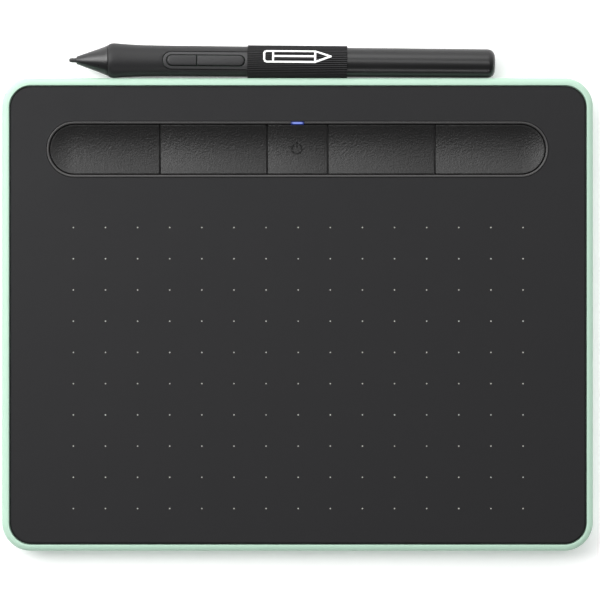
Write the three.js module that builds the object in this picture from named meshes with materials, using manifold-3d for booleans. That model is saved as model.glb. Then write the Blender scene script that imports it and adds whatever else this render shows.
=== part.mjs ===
// A small pen drawing tablet with its pen: a dark drawing panel set in a pale shell, a row of five keys in a
// dished strip, and a pen held behind the rear edge by a fabric loop. Millimetres, +Z up, +X to the right and
// +Y to the rear. The origin is on the desk, under the middle of the whole outline, pen included.
import * as THREE from "three";
import { mergeVertices } from "three/addons/utils/BufferGeometryUtils.js";
import Module from "manifold-3d";

// ---- Driving dimensions ----
// The tablet's own parts are drawn with the middle of the tablet at X0 Y0, and heights above the desk.
const CASE = { halfX: 100, halfY: 80, radius: 9.8 };
const RIM_WIDTH = 2.42;
const UNDERSIDE_Z = 0.8;
const FLOOR_Z = 2.2;
const LEDGE_Z = 7.0;
const RIM_TOP_Z = 8.8;
const PANEL = { top: 8.7, bottom: 7.1, gap: 0.25, edgeChamfer: 0.25 };

// The key strip is a stadium: every point within some radius of a straight spine.
const STRIP_Y = 55.85;
const SPINE_HALF = 75.4;
const STRIP_R = { opening: 9.6, lip: 9.45, pocket: 9.15, inner: 8.6, key: 8.3 };
const KEY = {
  top: 8.15, dish: 1.45, skin: 1.1, bottom: 5.5, flangeR: 8.85, flangeTop: 6.5, gap: 0.3,
  travel: 0.5,
};
const KEY_SPLITS = [-46.5, -10.25, 10.25, 46.5];
const SWITCH_XS = [-64, -28.4, 0, 28.4, 64];
const FRAME = {
  lipTop: 8.65, lipInner: 8.25, step: 6.6, shelfTop: 4.9, bottom: 4.2, wallR: 10.75,
  flangeR: 11.65,
};

// Boards stacked inside the case.
const BOARD = { bottom: 2.8, top: 3.8, x0: -94.2, x1: 80, y0: 42, y1: 65.1 };
const SENSOR = { halfX: 78, y0: -68, y1: 32, bottom: 6.05, top: 6.85 };
const SHIELD = { y1: 26, bottom: 5.6, top: 5.85 };
const SWITCH = { size: 4.4, height: 1.1, holeR: 1.15, stemR: 1.0, stemBottom: 4.4, stemTop: 5.25 };
const BATTERY = { halfX: 30, y0: -40, y1: 2, bottom: 2.4, top: 5.3 };
const RIBBON = { x0: -45, x1: -25 };
const LEAD_X = 12;
const USB = { depth: 5.4, width: 7.5, height: 2.5, wall: 0.35, front: -98.7 };

// Feet, screws and the blank label under the case.
const FOOT = { x: 82, y: 68.5, length: 20, width: 8, recess: 0.55, clearance: 0.2, height: 1.3 };
const SCREW = { x: 86, y: 68.5, headR: 2.2, headH: 1.2, shankR: 1.0, headBottom: 1.45, tip: 7.0 };
const BOSS = {
  r: 3, top: 5.5, holeR: 1.25, boreR: 2.5, seat: 2.75, upperR: 2.6, upperBottom: 5.6, pilotR: 1.15,
};
const LABEL = { halfX: 30, halfY: 11, y: -14, recess: 0.2, clearance: 0.2, thickness: 0.13 };

// The pen, drawn along its own axis, with X0 just behind the nib's tip and X growing towards the rear.
const PEN_END = 143.8;
const PEN_START_X = -76.9;
const PEN_BULGE = { x: 15.1, r: 5.9 };
const PEN_TAIL = { x: 140, r: 4.92 };
const PEN_GAP = 0.1; // between the pen and both the desk and the line of the case's edge
const NOSE = { start: 2.05, end: 12.7, holeR: 1.0, neckR: 4.2, neckEnd: 17.0 };
const FRONT = { start: 12.85, end: 76.9, boreR: 3.95, neckR: 4.0, neckEnd: 82, neckBoreR: 3.3 };
const REAR = { start: 77.1, boreR: 4.15, boreEnd: 141, cornerR: 2.6 };
const NIB = { r: 0.8, tip: -0.5, length: 24.5, travel: 0.4 };
const SIDE_KEY = {
  start: 32.8, split: 42.9, end: 59.0, halfWidth: 1.9, gap: 0.3, slotHalfWidth: 2.1, bottom: 3.0,
  top: 5.5,
};
const BEZEL = { start: 31.4, end: 63.4, halfWidth: 2.95, gap: 0.12, bottom: 3.3, floor: 3.15 };
const PEN_BOARD = { x0: 27.5, x1: 74, halfY: 3, bottom: 0.2, top: 1.0 };
const TACT = { front: 37.8, rear: 51, length: 3.4, halfY: 1.3, top: 2.1, postR: 0.8, postBottom: 2.45 };
const HOLDER = { start: 77.6, plugR: 3.1, shoulder: 82.3, r: 3.8, end: 104, holes: 3, holeR: 1.0, ring: 2.2 };
const SPARE_NIB_START = 83;

// The fabric loop round the pen and the bar that clamps its tail.
const LOOP = {
  x0: 60.0, x1: 93.7, innerR: 5.26, outerR: 5.58, tailBottom: 4.75, tailTop: 5.55, tailEnd: 69.9,
};
const LOOP_SLOT = { halfX: 17.3, bottom: 4.6, top: 5.7 };
const CLAMP = {
  halfX: 16.5, y0: 69.9, y1: 75.4, bottom: 5.65, top: 6.95, screwX: 12, screwY: 72.6, headR: 1.7,
};

const CORNER_STEPS = 7;
const PEN_SIDES = 32;
const SMALL_SIDES = 16;
const DISH_STEPS = 7;

const wasm = await Module();
wasm.setup();

// ---- Solids ----
/** A closed geometry as a solid, turned the right way out. */
function solid(geometry) {
  const bare = geometry.clone();
  bare.deleteAttribute("normal");
  bare.deleteAttribute("uv");
  const merged = mergeVertices(bare);
  const index = merged.index.array;
  const triangles = [];
  for (let i = 0; i < index.length; i += 3) {
    const [a, b, c] = [index[i], index[i + 1], index[i + 2]];
    if (a !== b && b !== c && c !== a) triangles.push(a, b, c);
  }
  const build = (triVerts) =>
    new wasm.Manifold(
      new wasm.Mesh({ numProp: 3, vertProperties: merged.attributes.position.array, triVerts }),
    );
  const made = build(new Uint32Array(triangles));
  return made.volume() < 0 ? build(new Uint32Array(triangles.reverse())) : made;
}

const asSolid = (shape) => (shape.isBufferGeometry ? solid(shape) : shape);
const join = (first, ...rest) => rest.reduce((all, next) => all.add(asSolid(next)), asSolid(first));
const cut = (first, ...tools) => tools.reduce((left, tool) => left.subtract(asSolid(tool)), asSolid(first));
const overlap = (first, second) => asSolid(first).intersect(asSolid(second));

/** A solid as a geometry that a mesh can show. */
function geometryOf(shape) {
  const mesh = asSolid(shape).getMesh();
  const points = new Float32Array(mesh.numVert * 3);
  for (let i = 0; i < mesh.numVert; i++)
    points.set(mesh.vertProperties.subarray(i * mesh.numProp, i * mesh.numProp + 3), i * 3);
  const geometry = new THREE.BufferGeometry();
  geometry.setAttribute("position", new THREE.BufferAttribute(points, 3));
  geometry.setIndex(new THREE.BufferAttribute(mesh.triVerts, 1));
  geometry.computeVertexNormals();
  return geometry;
}

/** A box between two corners. */
function box([x0, y0, z0], [x1, y1, z1]) {
  const made = new THREE.BoxGeometry(x1 - x0, y1 - y0, z1 - z0);
  return made.translate((x0 + x1) / 2, (y0 + y1) / 2, (z0 + z1) / 2);
}

/** An upright round post. */
function post(x, y, z0, z1, r, sides = 24) {
  const made = new THREE.CylinderGeometry(r, r, z1 - z0, sides).rotateX(Math.PI / 2);
  return made.translate(x, y, (z0 + z1) / 2);
}

/** A solid turned round the pen's axis from [x, r] points that start and end on the axis. */
function turned(points, sides = PEN_SIDES) {
  const profile = points.map(([x, r]) => new THREE.Vector2(r, x));
  return new THREE.LatheGeometry(profile, sides).rotateZ(-Math.PI / 2);
}

/** A round rod along the pen's axis. */
const rod = (x0, x1, r, sides = PEN_SIDES) => turned([[x0, 0], [x0, r], [x1, r], [x1, 0]], sides);

/** The points of a rounded rectangle grown outwards by an offset, anticlockwise. */
function outline({ halfX, halfY, radius }, offset) {
  const r = radius + offset;
  const points = [];
  for (let corner = 0; corner < 4; corner++) {
    const sideX = corner === 0 || corner === 3 ? 1 : -1;
    const sideY = corner < 2 ? 1 : -1;
    for (let step = 0; step <= CORNER_STEPS; step++) {
      const angle = ((corner + step / CORNER_STEPS) * Math.PI) / 2;
      const x = sideX * (halfX - radius) + r * Math.cos(angle);
      const y = sideY * (halfY - radius) + r * Math.sin(angle);
      points.push([x, y]);
    }
  }
  return points;
}

/** A solid whose section, a list of [offset, z] points, runs round a rounded rectangle. An open section is
    capped flat at both ends, and a closed one makes a ring. */
function sweptRound(rectangle, section, closed = false) {
  const rings = section.map(([offset, z]) => outline(rectangle, offset).map(([x, y]) => [x, y, z]));
  const sides = rings[0].length;
  const points = rings.flat();
  const index = [];
  const lastJoin = closed ? rings.length : rings.length - 1;
  for (let ring = 0; ring < lastJoin; ring++) {
    const here = ring * sides;
    const next = ((ring + 1) % rings.length) * sides;
    for (let i = 0; i < sides; i++) {
      const j = (i + 1) % sides;
      index.push(here + i, here + j, next + j, here + i, next + j, next + i);
    }
  }
  if (!closed) {
    for (const [ring, turn] of [[0, -1], [rings.length - 1, 1]]) {
      const start = ring * sides;
      const centre = points.push([0, 0, section[ring][1]]) - 1;
      for (let i = 0; i < sides; i++) {
        const pair = [start + i, start + ((i + 1) % sides)];
        index.push(centre, ...(turn > 0 ? pair : pair.reverse()));
      }
    }
  }
  const geometry = new THREE.BufferGeometry();
  geometry.setAttribute("position", new THREE.Float32BufferAttribute(points.flat(), 3));
  geometry.setIndex(index);
  return geometry;
}

/** An upright slab with a rounded-rectangle outline. */
const slab = (rectangle, z0, z1, offset = 0) => sweptRound(rectangle, [[offset, z0], [offset, z1]]);

/** An upright slab of the key strip's stadium outline at some radius from its spine. */
function stripSlab(radius, z0, z1) {
  const stadium = { halfX: SPINE_HALF + radius, halfY: radius, radius };
  return slab(stadium, z0, z1).translate(0, STRIP_Y, 0);
}

/** A slab along the pen with round ends, between two places on the pen's axis. */
function penSlab(x0, x1, halfWidth, z0, z1) {
  const stadium = { halfX: (x1 - x0) / 2, halfY: halfWidth, radius: halfWidth };
  return slab(stadium, z0, z1).translate((x0 + x1) / 2, 0, 0);
}

/** A section drawn in Y and Z and extruded along X. */
function extrudedAlongX(shape, x0, x1, curveSegments = 8) {
  const made = new THREE.ExtrudeGeometry(shape, { depth: x1 - x0, bevelEnabled: false, curveSegments });
  const toX = new THREE.Matrix4().makeBasis(
    new THREE.Vector3(0, 1, 0),
    new THREE.Vector3(0, 0, 1),
    new THREE.Vector3(1, 0, 0),
  );
  return made.applyMatrix4(toX).translate(x0, 0, 0);
}

// ---- Materials ----
const finish = (color, roughness, metalness = 0) =>
  new THREE.MeshStandardMaterial({ color, roughness, metalness });
const MATERIAL = {
  shell: finish(0xc9edd9, 0.45),
  panel: finish(0x36363a, 0.75),
  key: finish(0x38373a, 0.6),
  frame: finish(0x4c4c4e, 0.45),
  clear: finish(0xa9adff, 0.2),
  led: finish(0x3340ff, 0.3),
  circuit: finish(0x1c5a3c, 0.5),
  chip: finish(0x18181a, 0.5),
  steel: finish(0xb9bcc0, 0.35, 1),
  foil: finish(0xb8bcc2, 0.4, 0.6),
  wire: finish(0x8c1f1c, 0.5),
  ribbon: finish(0xe6e2d8, 0.5),
  fabric: finish(0x222224, 0.95),
  rubber: finish(0x4a4c4e, 0.9),
  label: finish(0xe8eae6, 0.6),
  pen: finish(0x333335, 0.55),
  nib: finish(0x1e1e20, 0.5),
  copper: finish(0xb4693a, 0.4, 0.9),
  ferrite: finish(0x3b3a3c, 0.8),
};

function part(name, shape, material) {
  const mesh = new THREE.Mesh(shape.isBufferGeometry ? shape : geometryOf(shape), material);
  mesh.name = name;
  return mesh;
}

// ---- Case ----
const CORNERS = { front_left: [-1, -1], front_right: [1, -1], rear_left: [-1, 1], rear_right: [1, 1] };
const FOOT_OUTLINE = { halfX: FOOT.length / 2, halfY: FOOT.width / 2, radius: FOOT.width / 2 };

/** The pale tray: a tapered underside, a rounded rim that stands round the panel, and the posts inside it. */
function baseShell() {
  const outside = [[-6, UNDERSIDE_Z], [-4.7, 1.15], [-2.7, 2.6], [-1, 4.9], [-0.2, 6.5], [0, 7.3]];
  const rim = [
    [-0.1, 7.85], [-0.55, 8.35], [-1.25, 8.68], [-2.05, RIM_TOP_Z], [-2.3, 8.74], [-RIM_WIDTH, 8.5],
  ];
  const inside = [[-RIM_WIDTH, LEDGE_Z], [-3.9, LEDGE_Z], [-3.9, 4.2], [-5.2, 2.6], [-6.4, FLOOR_Z]];
  let shell = solid(sweptRound(CASE, [...outside, ...rim, ...inside]));

  const underFloor = FLOOR_Z - 0.2;
  const batteryRib = { gap: 0.3, thickness: 1, top: 3.6 };
  const bay = (grow, z0, z1) =>
    box([-BATTERY.halfX - grow, BATTERY.y0 - grow, z0], [BATTERY.halfX + grow, BATTERY.y1 + grow, z1]);
  const leadNotch = box([LEAD_X - 1.6, BATTERY.y1 - 1, FLOOR_Z + 0.3], [LEAD_X + 1.6, BATTERY.y1 + 3, 9]);
  shell = join(
    shell,
    cut(
      bay(batteryRib.gap + batteryRib.thickness, underFloor, batteryRib.top),
      bay(batteryRib.gap, FLOOR_Z, 9),
      leadNotch,
    ),
    box([-20, 69.5, underFloor], [20, 76.3, LOOP_SLOT.bottom]),
  );
  for (const [sx, sy] of Object.values(CORNERS)) {
    shell = join(shell, post(sx * SCREW.x, sy * SCREW.y, underFloor, BOSS.top, BOSS.r));
    shell = join(shell, post(sx * 60, sy > 0 ? 14 : -52, underFloor, SHIELD.bottom - 0.1, 2.5, SMALL_SIDES));
    shell = join(shell, post(sx * 58, sy > 0 ? 62 : 46, underFloor, BOARD.bottom - 0.05, 2, SMALL_SIDES));
  }

  for (const [sx, sy] of Object.values(CORNERS)) {
    const recess = slab(FOOT_OUTLINE, 0, UNDERSIDE_Z + FOOT.recess, FOOT.clearance);
    shell = cut(
      shell,
      recess.translate(sx * FOOT.x, sy * FOOT.y, 0),
      post(sx * SCREW.x, sy * SCREW.y, 0, BOSS.seat, BOSS.boreR),
      post(sx * SCREW.x, sy * SCREW.y, 1, 6, BOSS.holeR, SMALL_SIDES),
    );
  }
  const labelX = LABEL.halfX + LABEL.clearance;
  const labelY = LABEL.halfY + LABEL.clearance;
  const labelTop = UNDERSIDE_Z + LABEL.recess;
  const usbHalf = USB.width / 2 + 0.35;
  shell = cut(
    shell,
    box([-labelX, LABEL.y - labelY, 0], [labelX, LABEL.y + labelY, labelTop]),
    box([-102, STRIP_Y - usbHalf, BOARD.top - 0.25], [-93, STRIP_Y + usbHalf, BOARD.top + USB.height + 0.25]),
    box([-LOOP_SLOT.halfX, 75, LOOP_SLOT.bottom], [LOOP_SLOT.halfX, 82, LOOP_SLOT.top]),
  );
  for (const side of [-1, 1])
    shell = cut(shell, post(side * CLAMP.screwX, CLAMP.screwY, 2.6, LOOP_SLOT.bottom + 1, 0.95, 12));
  return part("base_shell", shell, MATERIAL.shell);
}

/** The dark drawing panel, with a skirt that drops inside the tray and four screw bosses. */
function topCover() {
  const edge = -(RIM_WIDTH + PANEL.gap);
  let cover = solid(
    sweptRound(CASE, [
      [edge, PANEL.bottom],
      [edge, PANEL.top - PANEL.edgeChamfer],
      [edge - PANEL.edgeChamfer, PANEL.top],
    ]),
  );
  const skirtBottom = 5.9;
  const skirt = cut(
    sweptRound(
      CASE,
      [[-4.2, skirtBottom], [-4.2, PANEL.bottom + 0.1], [-5.2, PANEL.bottom + 0.1], [-5.2, skirtBottom]],
      true,
    ),
    box([-20, 60, 0], [20, 80, 9]),
    box([-100, STRIP_Y - 5, 0], [-90, STRIP_Y + 5, 9]),
  );
  cover = join(cover, skirt);
  for (const [sx, sy] of Object.values(CORNERS)) {
    const [x, y] = [sx * SCREW.x, sy * SCREW.y];
    cover = join(cover, post(x, y, BOSS.upperBottom, PANEL.bottom + 0.1, BOSS.upperR));
    cover = cut(cover, post(x, y, BOSS.upperBottom - 1, SCREW.tip + 0.2, BOSS.pilotR, SMALL_SIDES));
  }
  return part("top_cover", cut(cover, stripSlab(STRIP_R.opening, 5, 10)), MATERIAL.panel);
}

function rubberFoot(corner, [sx, sy]) {
  const edge = 0.35;
  const foot = sweptRound(FOOT_OUTLINE, [[-edge, 0], [0, edge], [0, FOOT.height]]);
  return part(`foot_${corner}`, foot.translate(sx * FOOT.x, sy * FOOT.y, 0), MATERIAL.rubber);
}

/** A pan-head screw standing on its head, with a cross recess, or hanging from its head when turned over. */
function screw({ headR, headH, shankR, length, driveHalf }) {
  const crown = 0.2;
  const profile = [
    [0, 0], [headR - 0.4, 0], [headR, crown], [headR, headH], [shankR, headH], [shankR, headH + length - 0.6],
  ];
  profile.push([shankR * 0.4, headH + length], [0, headH + length]);
  const outline = profile.map(([r, z]) => new THREE.Vector2(r, z));
  const body = new THREE.LatheGeometry(outline, SMALL_SIDES).rotateX(Math.PI / 2);
  const depth = headH * 0.5;
  return cut(
    body,
    box([-driveHalf, -0.2, -1], [driveHalf, 0.2, depth]),
    box([-0.2, -driveHalf, -1], [0.2, driveHalf, depth]),
  );
}

function caseScrew(corner, [sx, sy]) {
  const length = SCREW.tip - SCREW.headBottom - SCREW.headH;
  const mesh = part(`case_screw_${corner}`, screw({ ...SCREW, length, driveHalf: 1.2 }), MATERIAL.steel);
  mesh.position.set(sx * SCREW.x, sy * SCREW.y, SCREW.headBottom);
  return mesh;
}

function ratingLabel() {
  const top = UNDERSIDE_Z + LABEL.recess - 0.03;
  const rectangle = { halfX: LABEL.halfX, halfY: LABEL.halfY, radius: 1.5 };
  const label = slab(rectangle, top - LABEL.thickness, top).translate(0, LABEL.y, 0);
  return part("rating_label", label, MATERIAL.label);
}

// ---- Key strip ----
/** What lies above a dish whose lowest line, along the spine, is at z. */
function dishCutter(z) {
  const reach = STRIP_R.key + 0.8;
  const r = (STRIP_R.key ** 2 + KEY.dish ** 2) / (2 * KEY.dish);
  const narrowest = 0.3;
  const section = [];
  for (let step = 0; step <= DISH_STEPS; step++) {
    const across = narrowest + ((reach - narrowest) * step) / DISH_STEPS;
    section.push([across - reach, z + r - Math.sqrt(r ** 2 - across ** 2)]);
  }
  section.push([0, 12]);
  const stadium = { halfX: SPINE_HALF + reach, halfY: reach, radius: reach };
  return sweptRound(stadium, section).translate(0, STRIP_Y, 0);
}

/** One key of the strip between two X positions: a dished shell with a flange, and a post over its switch. */
function stripKey(name, x0, x1, switchX) {
  const within = (a, b) => box([a, STRIP_Y - 12, 0], [b, STRIP_Y + 12, 12]);
  const wall = 1.2;
  const blank = join(
    stripSlab(STRIP_R.key, KEY.bottom, 9),
    stripSlab(KEY.flangeR, KEY.bottom, KEY.flangeTop),
  );
  const top = KEY.top - KEY.dish;
  const hollow = cut(
    overlap(stripSlab(STRIP_R.key - wall, KEY.bottom - 1, 9), within(x0 + wall, x1 - wall)),
    dishCutter(top - KEY.skin),
  );
  const key = cut(overlap(blank, within(x0, x1)), dishCutter(top), hollow);
  return part(name, join(key, post(switchX, STRIP_Y, KEY.bottom - 0.2, 6, 0.9, SMALL_SIDES)), MATERIAL.key);
}

function keyStrip() {
  const ends = [-90, ...KEY_SPLITS, 90];
  const names = ["express_key_1", "express_key_2", "power_key", "express_key_3", "express_key_4"];
  return names.map((name, i) => {
    const key = stripKey(name, ends[i] + KEY.gap / 2, ends[i + 1] - KEY.gap / 2, SWITCH_XS[i]);
    if (name !== "power_key") return key;
    const guideNotch = box([-2.6, STRIP_Y + STRIP_R.key + 0.02, 5], [2.6, STRIP_Y + 10, 8]);
    return part(name, cut(key.geometry, guideNotch), MATERIAL.key);
  });
}

/** The ring that shows as a thin lip round the keys, with a shelf and cross bars under them. */
function keyFrame() {
  const stadium = { halfX: SPINE_HALF + STRIP_R.lip, halfY: STRIP_R.lip, radius: STRIP_R.lip };
  const at = (r, z) => [r - STRIP_R.lip, z];
  const ring = sweptRound(
    stadium,
    [
      at(STRIP_R.lip, FRAME.lipTop),
      at(STRIP_R.lip, LEDGE_Z),
      at(FRAME.flangeR, LEDGE_Z),
      at(FRAME.flangeR, 5.9),
      at(FRAME.wallR, 5.9),
      at(FRAME.wallR, FRAME.bottom),
      at(7.4, FRAME.bottom),
      at(7.4, FRAME.shelfTop),
      at(STRIP_R.pocket, FRAME.shelfTop),
      at(STRIP_R.pocket, FRAME.step),
      at(STRIP_R.inner, FRAME.step),
      at(STRIP_R.inner, FRAME.lipInner),
    ],
    true,
  ).translate(0, STRIP_Y, 0);
  const bars = KEY_SPLITS.map((x) =>
    box([x - 0.8, STRIP_Y - 7.6, FRAME.bottom], [x + 0.8, STRIP_Y + 7.6, FRAME.shelfTop]),
  );
  const guideSlot = box([-2.15, STRIP_Y + 8.45, 4], [2.15, STRIP_Y + 9.55, 9]);
  return part("key_frame", cut(join(ring, ...bars), guideSlot), MATERIAL.frame);
}

function statusLight() {
  const guide = box([-2, STRIP_Y + 8.65, 4.35], [2, STRIP_Y + 9.4, 8.55]);
  const led = box([-0.8, STRIP_Y + 8.25, BOARD.top], [0.8, STRIP_Y + 9.05, BOARD.top + 0.4]);
  return [part("light_guide", guide, MATERIAL.clear), part("status_led", led, MATERIAL.led)];
}

/** The dome switch under each key, and its stem. */
function keySwitches() {
  const names = ["key_switch_1", "key_switch_2", "power_switch", "key_switch_3", "key_switch_4"];
  return names.flatMap((name, i) => {
    const x = SWITCH_XS[i];
    const half = SWITCH.size / 2;
    const top = BOARD.top + SWITCH.height;
    const body = cut(
      box([x - half, STRIP_Y - half, BOARD.top], [x + half, STRIP_Y + half, top]),
      post(x, STRIP_Y, BOARD.top - 1, top + 1, SWITCH.holeR, SMALL_SIDES),
    );
    const stem = post(x, STRIP_Y, SWITCH.stemBottom, SWITCH.stemTop, SWITCH.stemR, SMALL_SIDES);
    return [part(name, body, MATERIAL.chip), part(name.replace("switch", "plunger"), stem, MATERIAL.nib)];
  });
}

// ---- Electronics ----
function boards() {
  const control = cut(
    box([BOARD.x0, BOARD.y0, BOARD.bottom], [BOARD.x1, BOARD.y1, BOARD.top]),
    ...[-88, 76].map((x) => post(x, 46, 2, 5, 1.2, SMALL_SIDES)),
  );
  const sensor = box([-SENSOR.halfX, SENSOR.y0, SENSOR.bottom], [SENSOR.halfX, SENSOR.y1, SENSOR.top]);
  const shield = box([-SENSOR.halfX, SENSOR.y0, SHIELD.bottom], [SENSOR.halfX, SHIELD.y1, SHIELD.top]);
  const chip = box([-22.5, STRIP_Y - 3.5, BOARD.top], [-15.5, STRIP_Y + 3.5, BOARD.top + 0.9]);
  const radio = box([33, STRIP_Y - 4.5, BOARD.top], [44, STRIP_Y + 4.5, BOARD.top + 1]);
  return [
    part("control_board", control, MATERIAL.circuit),
    part("sensor_board", sensor, MATERIAL.circuit),
    part("shield_plate", shield, MATERIAL.steel),
    part("controller_chip", chip, MATERIAL.chip),
    part("radio_module", radio, MATERIAL.steel),
  ];
}

/** The charging and data socket in the left wall: a folded metal mouth with a tongue inside. */
function usbSocket() {
  const back = USB.front + USB.depth;
  const [y0, y1] = [STRIP_Y - USB.width / 2, STRIP_Y + USB.width / 2];
  const [z0, z1] = [BOARD.top, BOARD.top + USB.height];
  const middle = (z0 + z1) / 2;
  const mouth = box(
    [USB.front - 1, y0 + USB.wall, z0 + USB.wall],
    [back - 0.6, y1 - USB.wall, z1 - USB.wall],
  );
  const tongue = box(
    [USB.front + 0.6, STRIP_Y - 1.8, middle - 0.1],
    [back - 0.3, STRIP_Y + 1.8, middle + 0.5],
  );
  const shell = cut(box([USB.front, y0, z0], [back, y1, z1]), mouth);
  return part("usb_socket", join(shell, tongue), MATERIAL.steel);
}

function battery() {
  const cell = { halfX: BATTERY.halfX, halfY: (BATTERY.y1 - BATTERY.y0) / 2, radius: 2 };
  const bulge = 0.8;
  const middle = (BATTERY.y0 + BATTERY.y1) / 2;
  const body = sweptRound(cell, [
    [-bulge, BATTERY.bottom],
    [0, BATTERY.bottom + bulge],
    [0, BATTERY.top - bulge],
    [-bulge, BATTERY.top],
  ]).translate(0, middle, 0);
  const route = new THREE.CatmullRomCurve3(
    [[2.4, 3.9], [8, 3.2], [32, 3.2], [38, 3.9], [43.5, 4.6]].map(
      ([y, z]) => new THREE.Vector3(LEAD_X, y, z),
    ),
  );
  const section = new THREE.Shape().absellipse(0, 0, 1.1, 0.5, 0, Math.PI * 2);
  const wires = new THREE.ExtrudeGeometry(section, { steps: 16, curveSegments: 4, extrudePath: route });
  const plug = box([LEAD_X - 2, 42.3, BOARD.top + 0.05], [LEAD_X + 2, 45, 5.3]);
  return [part("battery_cell", body, MATERIAL.foil), part("battery_lead", join(wires, plug), MATERIAL.wire)];
}

/** The flat cable that drops from under the sensor board to the front edge of the control board. */
function sensorRibbon() {
  const upper = SENSOR.bottom - 0.07;
  const lower = BOARD.top + 0.05;
  const thick = 0.25;
  const shape = new THREE.Shape();
  shape.moveTo(27, upper);
  shape.lineTo(33, upper);
  shape.bezierCurveTo(37, upper, 36.5, lower + thick, 40, lower + thick);
  shape.lineTo(44.4, lower + thick);
  shape.lineTo(44.4, lower);
  shape.lineTo(39.7, lower);
  shape.bezierCurveTo(36.2, lower, 36.7, upper - thick, 33, upper - thick);
  shape.lineTo(27, upper - thick);
  return part("sensor_ribbon", extrudedAlongX(shape, RIBBON.x0, RIBBON.x1), MATERIAL.ribbon);
}

// ---- Pen ----
/** Where the pen lies: its widest ring and its tail touch the line of the case's rear edge, and its widest
    ring and the loop round it rest on the desk. */
function penPlacement() {
  const slopeY = (PEN_BULGE.r - PEN_TAIL.r) / (PEN_TAIL.x - PEN_BULGE.x);
  const slopeZ = (PEN_BULGE.r - LOOP.outerR) / (LOOP.x1 - PEN_BULGE.x);
  const axis = new THREE.Vector3(Math.sqrt(1 - slopeY ** 2 - slopeZ ** 2), -slopeY, -slopeZ);
  const group = new THREE.Group();
  group.quaternion.setFromUnitVectors(new THREE.Vector3(1, 0, 0), axis);
  const bulge = new THREE.Vector3(0, CASE.halfY + PEN_GAP + PEN_BULGE.r, PEN_GAP + PEN_BULGE.r);
  group.position.copy(bulge).addScaledVector(axis, -PEN_BULGE.x);
  group.position.x = PEN_START_X;
  group.updateMatrix();
  return group;
}

const FRONT_PROFILE = [
  [FRONT.start, 5.36],
  [13.9, 5.84],
  [14.6, PEN_BULGE.r],
  [PEN_BULGE.x, PEN_BULGE.r],
  [16.2, 5.82],
  [18, 5.67],
  [20.5, 5.53],
  [24.5, 5.36],
  [32, 5.24],
  [45, 5.2],
  [FRONT.end, 5.08],
];

const frontOutside = () => turned([[FRONT.start, 0], ...FRONT_PROFILE, [FRONT.end, 0]]);

function noseCone() {
  const outside = [
    [NOSE.start, 0], [NOSE.start, 1.2], [2.3, 1.4], [6, 2.72], [9.7, 4.02], [11.6, 4.78], [NOSE.end, 5.26],
  ];
  const neck = [[NOSE.end, NOSE.neckR], [NOSE.neckEnd, NOSE.neckR], [NOSE.neckEnd, 0]];
  const inside = [
    [1.5, 0], [1.5, NOSE.holeR], [5.5, NOSE.holeR], [8.5, 2.2], [10.2, 3.2], [18, 3.2], [18, 0],
  ];
  return part("pen_nose_cone", cut(turned([...outside, ...neck]), turned(inside)), MATERIAL.pen);
}

function frontBarrel() {
  const neckStep = 76.2;
  const bore = [[12, 0], [12, 4.4], [17.4, 4.4], [17.4, FRONT.boreR], [neckStep, FRONT.boreR]];
  bore.push([neckStep, FRONT.neckBoreR], [83, FRONT.neckBoreR], [83, 0]);
  const barrel = cut(
    join(frontOutside(), rod(FRONT.end - 1, FRONT.neckEnd, FRONT.neckR)),
    turned(bore),
    penSlab(BEZEL.start - BEZEL.gap, BEZEL.end + BEZEL.gap, BEZEL.halfWidth + BEZEL.gap, BEZEL.floor, 7),
  );
  return part("pen_front_barrel", barrel, MATERIAL.pen);
}

/** The curved plate round the side switches, flush with the barrel. */
function switchBezel() {
  const plate = overlap(frontOutside(), penSlab(BEZEL.start, BEZEL.end, BEZEL.halfWidth, BEZEL.bottom, 7));
  const slotGap = 0.2;
  const slot = penSlab(SIDE_KEY.start - slotGap, SIDE_KEY.end + slotGap, SIDE_KEY.slotHalfWidth, 2, 7);
  return part("pen_switch_bezel", cut(plate, slot), MATERIAL.pen);
}

/** One half of the side switch: a crowned key with a post over its dome switch. */
function sideKey(name, x0, x1, tactX) {
  const crown = 0.35;
  const { start, end, halfWidth, bottom, top } = SIDE_KEY;
  const half = { halfX: (end - start) / 2, halfY: halfWidth, radius: halfWidth };
  const flank = [[0, bottom], [0, top - crown], [-0.25, top - 0.08], [-crown * 2, top]];
  const whole = sweptRound(half, flank);
  const middle = (start + end) / 2;
  const key = overlap(whole.translate(middle, 0, 0), box([x0, -3, 0], [x1, 3, 8]));
  const stem = post(tactX, 0, TACT.postBottom, bottom + 0.5, TACT.postR, 12);
  return part(name, join(key, stem), MATERIAL.pen);
}

/** A nib as it is sold: a round rod with a domed tip. */
function nib(name, start) {
  const quarter = Math.PI / 2;
  const dome = [0, 0.35, 0.7, 1].map((t) => [
    start + NIB.r * (1 - Math.cos(t * quarter)),
    NIB.r * Math.sin(t * quarter),
  ]);
  const points = [...dome, [start + NIB.length, NIB.r], [start + NIB.length, 0]];
  return part(name, turned(points, 12), MATERIAL.nib);
}

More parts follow.
